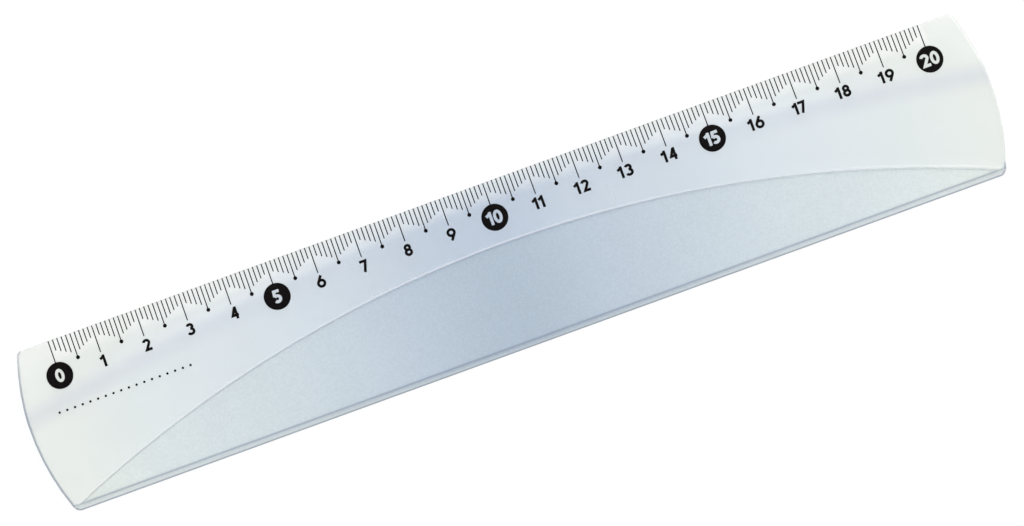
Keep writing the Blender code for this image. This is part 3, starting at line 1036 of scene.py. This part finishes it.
def writing_line_tree(inputs):
    """A row of evenly spaced dots of ink, from Start X on."""
    tree, given = new_geometry_tree("writing_line", inputs)
    start = add_node(tree, "ShaderNodeCombineXYZ", given["Start X"], given["Line Y"])
    spacing = add_node(tree, "ShaderNodeCombineXYZ", given["Dot Spacing"])
    row = {"Count": given["Dots"], "Start Location": start, "Offset": spacing}
    points = add_node(tree, "GeometryNodeMeshLine", named=row, mode="OFFSET", count_mode="TOTAL")
    radius = add_node(tree, "ShaderNodeMath", given["Dot Diameter"], 0.5, operation="MULTIPLY")
    round_dot = {"Vertices": LINE_DOT_SIDES, "Radius": radius, "Depth": given["Ink Thickness"]}
    dot = add_node(tree, "GeometryNodeMeshCylinder", named=round_dot)
    dots = add_node(tree, "GeometryNodeInstanceOnPoints", named={"Points": points, "Instance": dot})
    lay_on_bed(tree, add_node(tree, "GeometryNodeRealizeInstances", dots), given)
    return tree


whole_line = {
    "Dots": LINE_DOTS,
    "Dot Spacing": LINE_DOT_SPACING,
    "Dot Diameter": LINE_DOT_DIAMETER,
    "Ink Thickness": INK_THICKNESS,
    "Start X": LINE_START_X,
    "Line Y": EDGE_Y - LINE_INSET,
    "Printing Bed": bed,
    "Ink": ink,
}
line_tree = writing_line_tree(whole_line)
for index, stretch in enumerate(stretches):
    dots_x = [LINE_START_X + LINE_DOT_SPACING * dot for dot in range(LINE_DOTS)]
    here = [x for x in dots_x if lies_on(x, index)]
    if here:
        line_here = whole_line | {"Dots": len(here), "Start X": here[0]}
        line = made_by_tree(stretch.name.replace("strip", "writing_line"), line_tree, line_here)
        print_on(line)

bpy.data.objects.remove(bed)

# The table: a plain top of matt white laminate. Only a share of it is solid and the rest is see-through, so
# that it stays pure white and shows no more than a faint shadow.
TABLE_HALF_SIZE = 4.0
TABLE_DROP = 0.03 * MM
SOLID_SHARE = 0.22
table_shape = bmesh.new()
bmesh.ops.create_grid(table_shape, x_segments=1, y_segments=1, size=TABLE_HALF_SIZE)
table_mesh = mesh_of("table_top", table_shape)
table_mesh.transform(Matrix.Translation((0, 0, -TABLE_DROP)))
table_top = add_to_scene("table_top", table_mesh)
table_white, tree = new_material("matt_white_laminate")
matt = add_node(tree, "ShaderNodeBsdfDiffuse", linear("#FFFFFF"))
through = add_node(tree, "ShaderNodeBsdfTransparent")
top = add_node(tree, "ShaderNodeMixShader", SOLID_SHARE, through, matt)
add_node(tree, "ShaderNodeOutputMaterial", top)
table_mesh.materials.append(table_white)

# The light: an even white room, a little dimmer for what lies in it than for the eye, and one broad soft
# lamp high up beyond the 20 end and the scale edge.
ROOM_STRENGTH = 0.8
LAMP_DIAMETER = 2.0
LAMP_POWER = 45.0
LAMP_PLACE = Vector((1.4, 1.2, 2.6))
world = bpy.data.worlds.new("white_room")
world.use_nodes = True
bpy.context.scene.world = world
tree = world.node_tree
tree.nodes.clear()
path = add_node(tree, "ShaderNodeLightPath").node.outputs
seen = add_node(tree, "ShaderNodeMath", path["Is Camera Ray"], path["Is Glossy Ray"], operation="MAXIMUM")
seen = add_node(tree, "ShaderNodeMath", seen, path["Is Transmission Ray"], operation="MAXIMUM")
strength = add_node(tree, "ShaderNodeMapRange", seen, 0, 1, ROOM_STRENGTH, 1)
room = add_node(tree, "ShaderNodeBackground", linear("#FFFFFF"), strength)
add_node(tree, "ShaderNodeOutputWorld", room)

lamp_data = bpy.data.lights.new("soft_lamp", "AREA")
lamp_data.shape = "DISK"
lamp_data.size = LAMP_DIAMETER
lamp_data.energy = LAMP_POWER
lamp = add_to_scene("soft_lamp", lamp_data)
lamp.location = LAMP_PLACE
lamp.rotation_euler = (-LAMP_PLACE).to_track_quat("-Z", "Y").to_euler()
lamp.visible_camera = False

# The camera: straight above, turned so that the ruler climbs to the right as in the photograph. The middle
# of the ruler shows at RULER_PIXEL, and the scale of the picture holds at the height of the print.
PICTURE_WIDTH = 1024
PICTURE_MIDDLE = Vector((512.0, 263.0))
PIXELS_A_MM = 4.626
RULER_PIXEL = Vector((512.6, 262.91))
RULER_TURN = math.radians(-19.98)
PRINT_HEIGHT = 1.4 * MM
LENS = 150.0
SENSOR_WIDTH = 36.0
camera_data = bpy.data.cameras.new("camera")
camera_data.lens = LENS
camera_data.sensor_width = SENSOR_WIDTH
camera = add_to_scene("camera", camera_data)
bpy.context.scene.camera = camera
width_in_view = PICTURE_WIDTH / PIXELS_A_MM * MM
distance = width_in_view * LENS / SENSOR_WIDTH
to_middle = (PICTURE_MIDDLE - RULER_PIXEL) / PIXELS_A_MM * MM
offset = Vector((to_middle.x, -to_middle.y))
offset.rotate(Matrix.Rotation(RULER_TURN, 2))
camera.location = (offset.x, offset.y, PRINT_HEIGHT + distance)
camera.rotation_euler = (0, 0, RULER_TURN)

# The picture is shown plainly.
bpy.context.scene.view_settings.view_transform = "Standard"
